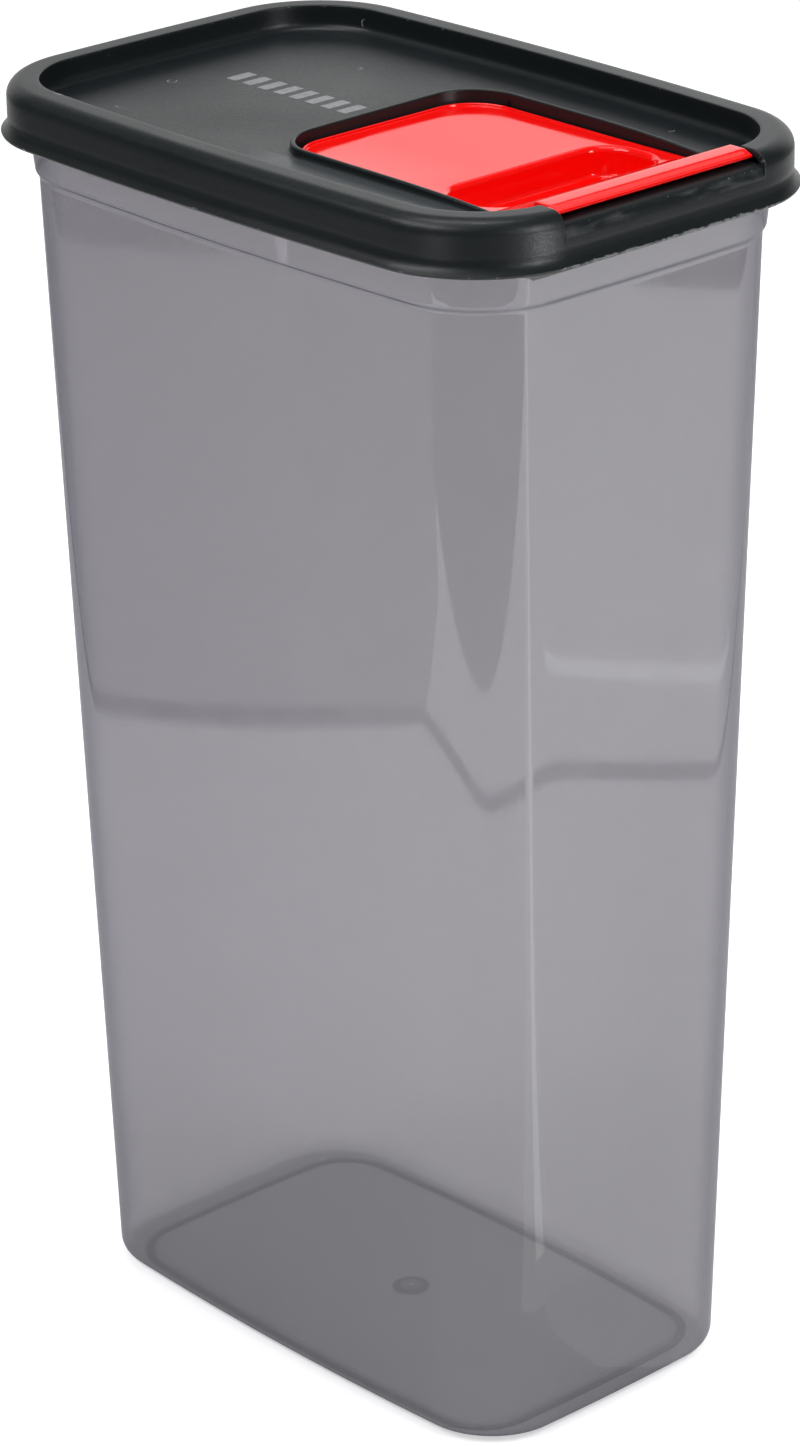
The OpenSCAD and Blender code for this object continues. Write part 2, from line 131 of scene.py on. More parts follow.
def rounded(a, b, r, n=20, nx=40, ny=24, bowed=True):
    """Rounded rectangle; a and b are its half sizes at the middle of the sides."""
    ca, cb = (a - SHORT_BOW, b - LONG_BOW) if bowed else (a, b)
    cx, cy = ca - r, cb - r
    p = joined([(arc(cx, cy, r, 0, 90, n), nx), (arc(-cx, cy, r, 90, 180, n), ny),
                (arc(-cx, -cy, r, 180, 270, n), nx), (arc(cx, -cy, r, 270, 360, n), ny)])
    return bow(p, ca, cb) if bowed else p


# Stations across the spout end, by their Y, with more of them where the notch ends
SIDE_END = 33.0
ROUND_END = 0.35
END_STEPS = [0.0, 0.03, 0.1, 0.2, ROUND_END]
SIDE_HALF = [0, 4, 8, 12, 16, 20, 23, 25, 26.5, 28, 29, 29.5, NOTCH]
SIDE_OUT = [NOTCH + s for s in END_STEPS] + [30.4, 31, 32, SIDE_END]
SIDE_Y = [-y for y in reversed(SIDE_OUT)] + [-y for y in reversed(SIDE_HALF)][:-1] + SIDE_HALF + SIDE_OUT
N_OUT, N_SIDE = len(SIDE_OUT), len(SIDE_Y)


def lid_outline(o, n=24, nx=44, ny=26):
    """The lid's outline moved out by o. The stations of the spout end lie at SIDE_Y."""
    ca, cb, r = LID_A + o - SHORT_BOW, LID_B + o - LONG_BOW, LID_R + o
    cx, cy = ca - r, cb - r
    side = [(ca if abs(y) <= cy else cx + math.sqrt(r * r - (abs(y) - cy) ** 2), y) for y in SIDE_Y]
    t0 = math.degrees(math.asin((SIDE_END - cy) / r))
    first = arc(cx, cy, r, t0, 90, n)[1:]
    last = arc(cx, -cy, r, 270, 360 - t0, n)[:-1]
    p = joined([(np.array(side), 1), (first, nx), (arc(-cx, cy, r, 90, 180, n), ny),
                (arc(-cx, -cy, r, 180, 270, n), nx), (last, 1)])
    return bow(p, ca, cb)


def tray(x0, x1, half, r, rf=0.3, n=20, nx=36, ny=20):
    """Outline with large rear corners and small front corners, for the well and the flap."""
    return joined([(arc(x1 - rf, half - rf, rf, 0, 90, 6), nx),
                   (arc(x0 + r, half - r, r, 90, 180, n), ny),
                   (arc(x0 + r, -half + r, r, 180, 270, n), nx),
                   (arc(x1 - rf, -half + rf, rf, 270, 360, 6), ny)])


def trough(o):
    """The finger trough's outline moved out by o."""
    return rounded(TROUGH_W + o, TROUGH_L + o, TROUGH_R + o, 24, 10, 16, False) + [TROUGH_X, 0]


def round_off(gap, r):
    """How far a surface falls back at a distance gap from an end that is rounded with radius r."""
    return r * (1 - math.sqrt(max(0.0, 1 - (1 - min(gap, r) / r) ** 2)))


def turn(cx, cz, rx, rz, t0, t1, n):
    """Profile points on an ellipse, in degrees from the outward direction."""
    t = np.radians(np.linspace(t0, t1, n + 1))
    return [(cx + rx * math.cos(a), cz + rz * math.sin(a)) for a in t]


# ---------------------------------------------------------------- mesh building
class Mesh:
    """Collects vertices in millimetres, their weight of wear on the lid and of painted shade on the
    container, and faces.
    """

    def __init__(self):
        self.v, self.f, self.wear_and_shade = [], [], []

    def add(self, points, wear_and_shade=0.0):
        """Adds vertices and gives the number of the first."""
        start = len(self.v)
        points = np.asarray(points, float).reshape(-1, 3)
        self.v += [tuple(p) for p in points]
        self.wear_and_shade += list(np.broadcast_to(np.asarray(wear_and_shade, float).ravel(), (len(points),)))
        return start

    def grid(self, g, wrap_u=True, wrap_v=False, wear_and_shade=0.0, caps=False):
        """g[u][v] is a point: u runs round the outline and v along the profile."""
        g = np.asarray(g, float)
        nu, nv = g.shape[:2]
        w = np.broadcast_to(np.asarray(wear_and_shade, float), (nu, nv))
        s = self.add(g, w)
        for u in range(nu if wrap_u else nu - 1):
            for v in range(nv if wrap_v else nv - 1):
                a, b = s + u * nv, s + (u + 1) % nu * nv
                self.f.append((a + v, b + v, b + (v + 1) % nv, a + (v + 1) % nv))
        if caps:
            self.f.append(tuple(s + v for v in range(nv)))
            self.f.append(tuple(s + (nu - 1) * nv + v for v in range(nv)))

    def cap(self, points):
        """One face through the points."""
        s = self.add(points)
        self.f.append(tuple(range(s, s + len(points))))

    def face(self, outline, z):
        self.cap([(p[0], p[1], z) for p in outline])

    def fill(self, outer, holes, z, wear_and_shade=0.0):
        """Triangles between an outline and its holes; z is a height or a function of x."""
        loops = [np.asarray(outer, float)] + [np.asarray(h, float) for h in holes]
        edges, k = [], 0
        for loop in loops:
            edges += [(k + i, k + (i + 1) % len(loop)) for i in range(len(loop))]
            k += len(loop)
        points = [Vector(p) for p in np.concatenate(loops)]
        verts, _, tri = delaunay_2d_cdt(points, edges, [], 1, 1e-7, False)[:3]
        co = np.array([tuple(v) for v in verts])
        centre = np.array([co[list(f)].mean(0) for f in tri])
        keep = inside(centre, loops[0])
        for h in loops[1:]:
            keep &= ~inside(centre, h)
        s = self.add([(p[0], p[1], z(p[0]) if callable(z) else z) for p in co], wear_and_shade)
        self.f += [tuple(s + i for i in f) for f, k in zip(tri, keep) if k]


def inside(points, loop):
    """Which points lie inside a closed outline."""
    hit = np.zeros(len(points), bool)
    x, y = points[:, 0], points[:, 1]
    for (x0, y0), (x1, y1) in zip(loop, np.roll(loop, -1, 0)):
        cross = (y0 > y) != (y1 > y)
        with np.errstate(divide="ignore", invalid="ignore"):
            hit ^= cross & (x < (x1 - x0) * (y - y0) / (y1 - y0) + x0)
    return hit


def loft(rows):
    """Grid from rows that start with (outline, z); z is one height or one for each point."""
    return np.stack([np.column_stack([r[0], np.broadcast_to(r[1], len(r[0]))]) for r in rows], 1)


def shade_marks(rows):
    """The third value of each row."""
    return [r[2] for r in rows]


def piece(name, mesh, body, material, nodes=(), sharp=32):
    """Makes the object, welds and cleans it, and hangs it on its body."""
    data = bpy.data.meshes.new(name)
    data.from_pydata([tuple(c * MM for c in p) for p in mesh.v], [], mesh.f)
    wear_and_shade = data.attributes.new("wear_and_shade", "FLOAT", "POINT")
    wear_and_shade.data.foreach_set("value", np.array(mesh.wear_and_shade, np.float32))
    bm = bmesh.new()
    bm.from_mesh(data)
    bmesh.ops.remove_doubles(bm, verts=bm.verts, dist=2e-6)
    bmesh.ops.dissolve_degenerate(bm, edges=bm.edges, dist=1e-6)
    loose = [v for v in bm.verts if not v.link_faces]
    bmesh.ops.delete(bm, geom=loose, context="VERTS")
    bmesh.ops.recalc_face_normals(bm, faces=bm.faces)
    open_edges = sum(1 for e in bm.edges if len(e.link_faces) != 2)
    if open_edges:
        print("OPEN", name, open_edges)
    bm.to_mesh(data)
    bm.free()
    data.polygons.foreach_set("use_smooth", [True] * len(data.polygons))
    data.set_sharp_from_angle(angle=math.radians(sharp))
    obj = bpy.data.objects.new(name, data)
    bpy.context.scene.collection.objects.link(obj)
    data.materials.append(material)
    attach(obj, body)
    if nodes:
        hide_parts(*nodes)
    return obj


# ---------------------------------------------------------------- materials
# Share of the light that the smoke plastic holds back as haze and gloss, seen square on
CLOUD = 0.225


class Nodes:
    """Short calls for building a node material."""

    def __init__(self, name):
        self.mat = bpy.data.materials.new(name)
        self.mat.use_nodes = True
        self.nt = self.mat.node_tree
        self.nt.nodes.clear()
        self.out = self.new("ShaderNodeOutputMaterial")
        self.coord = self.new("ShaderNodeTexCoord").outputs["Object"]

    def new(self, kind, **values):
        n = self.nt.nodes.new(kind)
        for k, v in values.items():
            setattr(n, k, v)
        return n

    def put(self, socket, value):
        """Links an output, or sets a constant."""
        if hasattr(value, "is_output"):
            self.nt.links.new(value, socket)
        else:
            socket.default_value = value

    def noise(self, scale, detail=3.0, rough=0.5, stretch=None):
        n = self.new("ShaderNodeTexNoise")
        self.put(n.inputs["Vector"], self.stretched(stretch))
        self.put(n.inputs["Scale"], scale)
        self.put(n.inputs["Detail"], detail)
        self.put(n.inputs["Roughness"], rough)
        return n.outputs["Fac"]

    def stretched(self, stretch):
        """Object coordinates, scaled along each axis."""
        if stretch is None:
            return self.coord
        m = self.new("ShaderNodeMapping")
        self.put(m.inputs["Vector"], self.coord)
        self.put(m.inputs["Scale"], stretch)
        return m.outputs["Vector"]

    def voronoi(self, scale, out="Distance"):
        n = self.new("ShaderNodeTexVoronoi")
        self.put(n.inputs["Vector"], self.coord)
        self.put(n.inputs["Scale"], scale)
        return n.outputs[out]

    def math(self, op, a, b):
        n = self.new("ShaderNodeMath", operation=op)
        for s, v in zip(n.inputs, (a, b)):
            self.put(s, v)
        return n.outputs[0]

    def ramp(self, value, lo, hi, out_lo=0.0, out_hi=1.0):
        """Clamped straight line from out_lo at lo to out_hi at hi."""
        n = self.new("ShaderNodeMapRange", clamp=True)
        for s, v in zip(n.inputs, (value, lo, hi, out_lo, out_hi)):
            self.put(s, v)
        return n.outputs[0]

    def mix(self, fac, a, b, how="MIX"):
        n = self.new("ShaderNodeMix", data_type="RGBA", blend_type=how)
        self.put(n.inputs["Factor"], fac)
        self.put(n.inputs[6], a)
        self.put(n.inputs[7], b)
        return n.outputs[2]

    def bump(self, height, strength, distance):
        n = self.new("ShaderNodeBump")
        self.put(n.inputs["Height"], height)
        self.put(n.inputs["Strength"], strength)
        self.put(n.inputs["Distance"], distance)
        return n.outputs["Normal"]

    def attribute(self, name):
        return self.new("ShaderNodeAttribute", attribute_name=name).outputs["Fac"]

    def axis(self, vector, k):
        """One component of a vector or colour."""
        n = self.new("ShaderNodeSeparateXYZ")
        self.put(n.inputs[0], vector)
        return n.outputs[k]

    def band(self, k, lo, hi, soft=0.4):
        """1 where coordinate k lies between lo and hi, in millimetres, with soft ends."""
        c = self.axis(self.coord, k)
        return self.math("MULTIPLY", self.ramp(c, lo * MM, (lo + soft) * MM),
                         self.ramp(c, hi * MM, (hi - soft) * MM))

    def principled(self, **values):
        n = self.new("ShaderNodeBsdfPrincipled")
        for k, v in values.items():
            self.put(n.inputs[k.replace("_", " ")], v)
        return n.outputs[0]

    def finish(self, shader):
        self.put(self.out.inputs["Surface"], shader)
        return self.mat


def rgba(r, g, b):
    """A linear colour."""
    return (r, g, b, 1.0)


def specks(m, scale, share, size, patch_scale):
    """Small round dust specks in a share of the cells, thicker in some patches."""
    near = m.voronoi(scale)
    pick = m.voronoi(scale, "Color")
    chosen = m.ramp(m.axis(pick, 0), 1 - share, 1 - share + 0.001)
    dot = m.ramp(near, size, size * 0.5)
    patch = m.ramp(m.noise(patch_scale, 1), 0.42, 0.6, 0.15, 1.0)
    return m.math("MULTIPLY", m.math("MULTIPLY", dot, chosen), patch)


def lint(m):
    """Short curled fibres: broken rings in a few of the cells."""
    cells = 190
    near = m.voronoi(cells)
    pick = m.voronoi(cells, "Color")
    ring = m.math("MULTIPLY", m.ramp(near, 0.20, 0.235), m.ramp(near, 0.27, 0.235))
    chosen = m.ramp(m.axis(pick, 1), 0.94, 0.941)
    broken = m.ramp(m.noise(420, 2), 0.52, 0.56)
    return m.math("MULTIPLY", m.math("MULTIPLY", ring, chosen), broken)


def lid_material():
    """Matt injection-moulded lid with a fine grain, rubbed edges and a little dust, and painted sheen on
    upward faces and beside the lip.
    """
    m = Nodes("lid_plastic")
    grain = m.noise(2600, 2)
    cloud = m.noise(28, 4)
    normal_z = m.axis(m.new("ShaderNodeNewGeometry").outputs["Normal"], 2)
    up = m.ramp(normal_z, 0.2, 0.8)
    base = m.mix(cloud, rgba(0.0050, 0.0078, 0.0088), rgba(0.0078, 0.0108, 0.0122))
    # Painted sheen: the grain is lighter on faces that look up
    base = m.mix(m.math("MULTIPLY", up, m.ramp(grain, 0.5, 0.8, 0.0, 0.10)), base, rgba(0.10, 0.105, 0.11))
    # Chipped light specks where the edge is most worn
    chip = m.ramp(m.math("SUBTRACT", m.math("MULTIPLY", m.attribute("wear_and_shade"), 0.62),
                         m.noise(650, 5, 0.65)), -0.02, 0.05)
    base = m.mix(m.math("MULTIPLY", chip, 0.45), base, rgba(0.30, 0.31, 0.32))
    # Long soft rub marks on the rounding of the sill
    rub = m.math("MULTIPLY", m.band(2, PANEL, SILL - 0.6), m.band(1, -NOTCH - 0.3, NOTCH + 0.3))
    rub = m.math("MULTIPLY", rub, m.ramp(m.axis(m.coord, 0), 81.5 * MM, 82.5 * MM))
    rub = m.math("MULTIPLY", rub, m.ramp(m.noise(260, 4, 0.6, (1, 0.22, 1)), 0.50, 0.68))
    base = m.mix(m.math("MULTIPLY", rub, 0.16), base, rgba(0.32, 0.33, 0.34))
    dust = m.math("MULTIPLY", specks(m, 260, 0.07, 0.040, 22), m.ramp(up, 0, 1, 0.35, 1.0))
    base = m.mix(dust, base, rgba(0.42, 0.43, 0.43))
    base = m.mix(lint(m), base, rgba(0.26, 0.27, 0.27))
    # Painted reflection: a lighter grey band on the panel in the narrow channel beside the lip, on the -Y
    # side
    painted_channel_sheen = m.math("MULTIPLY", m.band(0, -10, 80, 10), m.band(1, -WELL_B - 10, -WELL_B - 1, 0.8))
    painted_channel_sheen = m.math("MULTIPLY", painted_channel_sheen, m.band(2, PANEL - 0.5, PANEL + 1.2, 0.3))
    painted_channel_sheen = m.math("MULTIPLY", painted_channel_sheen, m.ramp(m.noise(700, 3), 0.2, 0.8, 0.75, 1.0))
    base = m.mix(painted_channel_sheen, base, rgba(0.052, 0.058, 0.062))
    rough = m.ramp(grain, 0.3, 0.7, 0.30, 0.41)
    rough = m.math("ADD", rough, m.ramp(cloud, 0.3, 0.7, -0.03, 0.04))
    pits = m.noise(1100, 3, 0.6)
    normal = m.bump(m.math("ADD", pits, m.math("MULTIPLY", m.noise(60, 3), 0.4)), 0.22, 0.0002)
    return m.finish(m.principled(Base_Color=base, Roughness=rough, Normal=normal, IOR=1.45,
                                Specular_IOR_Level=0.4))


def flap_material():
    """Glossy red flap."""
    m = Nodes("flap_plastic")
    cloud = m.noise(18, 3)
    base = m.mix(cloud, rgba(0.80, 0.0015, 0.001), rgba(0.88, 0.004, 0.002))
    base = m.mix(specks(m, 170, 0.05, 0.03, 15), base, rgba(0.95, 0.6, 0.55))
    rough = m.ramp(m.noise(90, 4, 0.6), 0.3, 0.7, 0.07, 0.13)
    normal = m.bump(m.noise(35, 2), 0.03, 0.0006)
    return m.finish(m.principled(Base_Color=base, Roughness=rough, Normal=normal, IOR=1.52))


def body_material():
    """Smoke-tinted clear plastic: a tinted see-through layer under a glossy surface, with painted shade along
    its moulded lines and lower edge.
    """
    m = Nodes("smoke_plastic")
    edge = m.new("ShaderNodeLayerWeight")
    m.put(edge.inputs["Blend"], 0.5)
    facing = edge.outputs["Facing"]
    mark = m.attribute("wear_and_shade")
    inner = m.ramp(mark, -0.4, -0.9)
    drift = m.noise(9, 3, 0.5, (1, 1, 0.35))
    clear = m.mix(drift, rgba(0.456, 0.446, 0.468), rgba(0.484, 0.474, 0.496))
    # Painted shade: the moulded lines of the base and the shoulder, and the lower edge, hold back more light
    # in place of the light their edges bend away
    clear = m.mix(m.ramp(mark, 0.0, 1.0), clear, rgba(0.11, 0.105, 0.16))
    # So does the plastic seen at a slant
    clear = m.mix(m.ramp(facing, 0.36, 0.66), clear, rgba(0.68, 0.68, 0.73), "MULTIPLY")
    # The inside surfaces add nothing of their own: the tint lies in the outer ones
    clear = m.mix(inner, clear, rgba(0.99, 0.99, 0.99))
    see = m.new("ShaderNodeBsdfTransparent")
    m.put(see.inputs["Color"], clear)
    haze = m.mix(m.noise(30, 3), rgba(0.27, 0.26, 0.28), rgba(0.33, 0.32, 0.34))
    haze = m.mix(specks(m, 55, 0.06, 0.018, 9), haze, rgba(0.9, 0.9, 0.9))
    rough = m.ramp(m.noise(140, 3), 0.3, 0.7, 0.03, 0.06)
    shell = m.principled(Base_Color=haze, Roughness=rough, IOR=2.6, Specular_IOR_Level=0.75)
    # Schlick's rise towards grazing, the same from either side of the wall
    rise = m.math("POWER", facing, 5.0)
    seen = m.ramp(rise, 0.0, 1.0, CLOUD, 0.32)
    seen = m.math("MULTIPLY", seen, m.ramp(inner, 0.0, 1.0, 1.0, 0.04))
    # The far wall, met from behind, shows less gloss
    behind = m.new("ShaderNodeNewGeometry").outputs["Backfacing"]
    seen = m.math("MULTIPLY", seen, m.ramp(behind, 0.0, 1.0, 1.0, 0.5))
    mixer = m.new("ShaderNodeMixShader")
    m.put(mixer.inputs[0], seen)
    m.put(mixer.inputs[1], see.outputs[0])
    m.put(mixer.inputs[2], shell)
    return m.finish(mixer.outputs[0])


def print_material():
    """Grey ink, a little worn."""
    m = Nodes("printed_bars")
    worn = m.noise(700, 4, 0.6)
    base = m.mix(m.ramp(worn, 0.35, 0.7), rgba(0.215, 0.226, 0.230), rgba(0.160, 0.170, 0.174))
    return m.finish(m.principled(Base_Color=base, Roughness=m.ramp(worn, 0.3, 0.7, 0.4, 0.5)))


LID, FLAP, BODY, PRINT = lid_material(), flap_material(), body_material(), print_material()


# ---------------------------------------------------------------- container
def wall(o, z):
    """The container's outline at z, moved out by o."""
    t = min(z, SHOULDER) / SHOULDER
    return rounded(BASE_A + DRAFT * t + o, BASE_B + DRAFT * t + o, BASE_R + CORNER_GROWTH * t + o)


def foot(o):
    """The foot ring's outer edge, moved out by o."""
    return rounded(FOOT_A + o, FOOT_B + o, FOOT_R + o)


def collar(z):
    """How far the collar stands out from the wall."""
    return STEP + LEAN * (z - SHOULDER - STEP_H) / (SKIRT - SHOULDER - STEP_H)


def make_container():
    """The container in one closed skin; each row is (outline, z, weight of the painted shade on a moulded
    line).
    """
    rim_out = STEP + LEAN + FLARE
    flare_z = SKIRT + FLARE_H
    slope = FOOT_H / 2
    # Foot ring, from inside it to outside, and the rounded lower edge, with painted shade along the ring and
    # on the edge
    ring = [(-FOOT_W - 2.2, FOOT_H, UNDER_SHADE), (-FOOT_W - slope, FOOT_H, 0.5), (-FOOT_W - 0.1, 0.15, 1.0),
            (-FOOT_W + 0.1, FOOT_CLEAR, 1.0), (-0.1, FOOT_CLEAR, 1.0), (0.1, 0.15, 1.0), (slope, FOOT_H, 0.3)]
    rows = [(foot(o), z, mark) for o, z, mark in ring]
    lower = turn(-BASE_EDGE, FOOT_H + BASE_EDGE, BASE_EDGE, BASE_EDGE, -90, 0, 10)
    # Painted shade on the lower rounded edge, fading out upward
    lower_edge_shade = [0.2] * 6 + [0.15, 0.1, 0.07, 0.03, 0.0]
    rows += [(wall(o, z), z, mark) for (o, z), mark in zip(lower, lower_edge_shade)]
    # Wall, softened shoulder line with painted shade along it, collar and rim
    rows += [(wall(0, z), z, 0.0) for z in np.linspace(12, SHOULDER - 1.2, 22)]
    step = [(0.0, -0.5, 0.0), (0.05, -0.15, 0.2), (0.16, 0.1, 0.5), (0.45, 0.5, 0.75), (0.72, 0.85, 0.5),
            (0.85, 1.15, 0.2), (0.92, 1.6, 0.0)]
    rows += [(wall(o, SHOULDER + dz), SHOULDER + dz, mark) for o, dz, mark in step]
    outside = [(collar(z), z) for z in np.linspace(SHOULDER + 3, SKIRT, 4)] + [(rim_out, flare_z)]
    outside += turn(rim_out - WALL / 2, BODY_TOP - WALL / 2, WALL / 2, WALL / 2, 0, 180, 10)
    rows += [(wall(o, z), z, 0.0) for o, z in outside]
    # Inside, from the rim down to the floor
    within = [(rim_out - WALL, flare_z)]
    within += [(collar(z) - WALL, z) for z in np.linspace(SKIRT, SHOULDER + 3, 4)]
    step = [(0.85, 1.2), (0.7, 0.8), (0.45, 0.3), (0.2, -0.2), (0.06, -0.7), (0.0, -1.3)]
    within += [(o - WALL, SHOULDER + dz) for o, dz in step]
    within += [(-WALL, z) for z in np.linspace(SHOULDER - 4, 14, 20)]
    within += turn(-WALL - BASE_INSIDE, FLOOR + BASE_INSIDE, BASE_INSIDE, BASE_INSIDE, 0, -90, 12)
    rows += [(wall(o, z), z, INNER) for o, z in within]
    mesh = Mesh()
    mesh.grid(loft(rows), wear_and_shade=shade_marks(rows))
    mesh.fill(rows[-1][0], [], FLOOR, INNER)
    # Underside with the gate's recess: (outline, depth, weight of painted shade)
    gate = arc(0, 0, GATE_R, 0, 360, 48)[:-1]
    stub = arc(0, 0, STUB_R, 0, 360, 48)[:-1]
    recess = [(gate * 1.12, 0.0, UNDER_SHADE), (gate, 0.0, 0.9), (gate * 0.9, 0.35, 1.0),
              (gate * 0.72, 0.5, 1.0), (stub * 1.5, 0.5, 0.4), (stub * 1.1, 0.45, 1.0), (stub, 0.15, 1.0)]
    recess = [(line, FOOT_H + depth, mark) for line, depth, mark in recess]
    mesh.fill(rows[0][0], [recess[0][0]], FOOT_H, UNDER_SHADE)
    mesh.grid(loft(recess), wear_and_shade=shade_marks(recess))
    mesh.face(stub, recess[-1][1])
    return piece("container_shell", mesh, "container", BODY, ["container_body"], 40)


make_container()


# ---------------------------------------------------------------- lid
def eroded(profile, e):
    """A closed (o, z) profile pulled inward by e per point."""
    p = np.array(profile)
    d = np.roll(p, -1, 0) - np.roll(p, 1, 0)
    n = np.stack([d[:, 1], -d[:, 0]], 1)
    n /= np.maximum(np.linalg.norm(n, axis=1, keepdims=True), 1e-9)
    area = np.sum(p[:, 0] * np.roll(p[:, 1], -1) - p[:, 1] * np.roll(p[:, 0], -1))
    return p - n * np.asarray(e)[:, None] * (1 if area > 0 else -1)


def rim_section():
    """The rim's closed section in four runs of (o, z), from the panel's edge over the rim and back inside."""
    inner, back = -RIM_W - FILLET, -RIM_W + 1.8
    top = [(inner + FILLET * math.sin(t), PANEL + FILLET * (1 - math.cos(t)))
           for t in np.radians(np.linspace(0, 90, 7))]
    top += [(-RIM_W, 297.4), (-RIM_W, 299.0)]
    top += turn(-RIM_W + RIM_INSIDE, TOP - RIM_INSIDE, RIM_INSIDE, RIM_INSIDE, 180, 90, 4)
    top += [(-6.2, TOP), (-5.3, TOP), (-4.4, TOP)]
    top += turn(-EDGE, TOP - EDGE, EDGE, EDGE, 90, 0, 12)
    skirt = [(0.0, 295.4), (0.0, 294.4), (0.0, 293.2), (0.0, 292.2), (-0.06, 291.5), (0.02, SKIRT_FLARE)]
    skirt += [(0.02 + 1.48 * t ** 1.9, SKIRT_FLARE - (SKIRT_FLARE - SKIRT - SKIRT_TIP) * t)
              for t in np.linspace(0.15, 1, 8)]
    skirt += turn(1.5 - SKIRT_TIP, SKIRT + SKIRT_TIP, SKIRT_TIP, SKIRT_TIP, 0, -90, 5)[1:]
    under = [(-3.0, SKIRT), (-3.0, SKIRT + 0.6), (-1.6, 289.8), (-1.6, 293), (-1.6, 295.4)]
    under += turn(-3.6, 296.4, 2.0, 2.0, 0, 90, 4)
    under += [(back, 298.4), (back, PANEL), (-7.2, 287.4), (-7.5, PLUG)]
    tail = [(-8.5, PLUG), (-8.5, UNDER - 0.6), (-9.1, UNDER), (inner, UNDER), (inner, 293.1)]
    return top, skirt, under, tail


# Points on the sill's rounding
SILL_ARC = 13


def sill_section(top, skirt, under, tail):
    """The same loop across the notch, point for point: the sill, and the well's front wall inside.

    An "o" point follows the lid's outline and an "x" point lies on a plane. The second result is where
    the sill's rounding starts.
    """
    loop = [("x", WELL_X1, z) for z in np.linspace(293.6, SILL - 0.5, 9)]
    loop += [("x", WELL_X1 + 0.5 * (1 - math.cos(t)), SILL - 0.5 + 0.5 * math.sin(t))
             for t in np.radians([30, 60, 90])]
    flat = len(top) - len(loop) - SILL_ARC + 1
    loop += [("o", -7.4 + 4.3 * k / flat, SILL) for k in range(flat)]
    start = len(loop)
    loop += [("o", -3.1 + 3.1 * math.sin(t), 294.1 + 3.1 * math.cos(t))
             for t in np.radians(np.linspace(0, 74, SILL_ARC - 1))]
    loop += [("o", -0.02, 294.35), ("o", 0.0, 293.8)] + [("o", o, z) for o, z in skirt[2:]]
    # Below the sill the channel is lower, and its last level point lies lower still
    ceiling = [("o", o, min(z, SILL - 1.6)) for o, z in under]
    ceiling[-4] = ("o", under[-4][0], SILL - 1.7)
    loop += ceiling + [("x", WELL_X1, z) for z in np.linspace(PLUG, 293.1, len(tail))]
    return loop, start


def make_lid_rim():
    """Rim, skirt, channel and plug wall in one sweep round the lid, with the notch and the stops."""
    runs = rim_section()
    rim = np.array(sum(runs, []))
    notch, sill_start = sill_section(*runs)
    n_top, n_prof = len(runs[0]), len(rim)
    assert len(notch) == n_prof, (len(notch), n_prof)
    # How far each point is drawn in where the rim rounds off at the notch, and how worn it is
    pull, edge_wear, sill_wear, tip_wear = np.zeros((4, n_prof))
    pull[3:5] = pull[n_top:n_top + 2] = 0.5
    pull[5:n_top] = 1
    edge_wear[8:13] = [0.2, 0.62, 0.62, 0.5, 0.2]
    tip_wear[n_top + 11:n_top + 17] = [0.2, 0.6, 0.92, 0.95, 0.8, 0.4]
    sill_wear[sill_start:sill_start + SILL_ARC] = np.interp(
        np.arange(SILL_ARC), [0, 3, 6, 9, 12], [0.1, 0.3, 0.66, 0.3, 0.0])
    outlines = {}

    def at(o):
        k = round(float(o), 5)
        if k not in outlines:
            outlines[k] = lid_outline(k)
        return outlines[k]

    first, last = N_OUT, N_SIDE - N_OUT - 1
    g, wear_and_shade = [], []
    for s in range(len(at(0))):
        if first <= s <= last:
            g.append([(*at(v)[s], z) if kind == "o" else (v, SIDE_Y[s], z) for kind, v, z in notch])
            wear_and_shade.append(np.maximum(sill_wear, tip_wear))
        elif s < N_SIDE and abs(SIDE_Y[s]) - NOTCH < ROUND_END:
            cut = round_off(abs(SIDE_Y[s]) - NOTCH, ROUND_END)
            g.append([(*lid_outline(float(o))[s], z) for o, z in eroded(rim, pull * cut)])
            wear_and_shade.append(np.maximum(edge_wear * 0.6, 0.7 * pull))
        else:
            g.append([(*at(o)[s], z) for o, z in rim])
            wear_and_shade.append(edge_wear + tip_wear * (0.9 if s < N_SIDE else 0.68))
    g = np.array(g)
    # The notch's end planes are flat
    for s in (first - 1, last + 1, first, last):
        g[s, :, 1] = math.copysign(NOTCH, SIDE_Y[s])
    mesh = Mesh()
    mesh.grid(g, True, True, np.clip(np.array(wear_and_shade), 0, 1))
    # Stops in the channel, along the sides and at the rear
    for x in STOPS_X:
        for s in (-1, 1):
            y = s * (LID_B - LONG_BOW * (x / LID_A) ** 2)
            y0, y1 = sorted((y - s * 1.2, y - s * 6.2))
            box(mesh, (x - STOP_T, y0, STOP_Z0), (x + STOP_T, y1, STOP_Z1))
    for y in (-STOPS_Y, STOPS_Y):
        box(mesh, (-84.8, y - STOP_T, STOP_Z0), (-79.8, y + STOP_T, STOP_Z1))
    return piece("lid_rim", mesh, "lid", LID, ["lid"], 38)


def box(mesh, lo, hi):
    """A rib."""
    c = [(x, y, z) for x in (lo[0], hi[0]) for y in (lo[1], hi[1]) for z in (lo[2], hi[2])]
    s = mesh.add(c)
    for f in ((0, 1, 3, 2), (4, 6, 7, 5), (0, 4, 5, 1), (2, 3, 7, 6), (0, 2, 6, 4), (1, 5, 7, 3)):
        mesh.f.append(tuple(s + i for i in f))


def lip_top(x):
    """Height of the lip's top: level at the rear, falling towards the tab."""
    t = np.clip((x - LIP_FALL) / (WELL_X1 - LIP_FALL), 0, 1)
    return PANEL + LIP_H - (LIP_H - LIP_LOW) * t ** 3


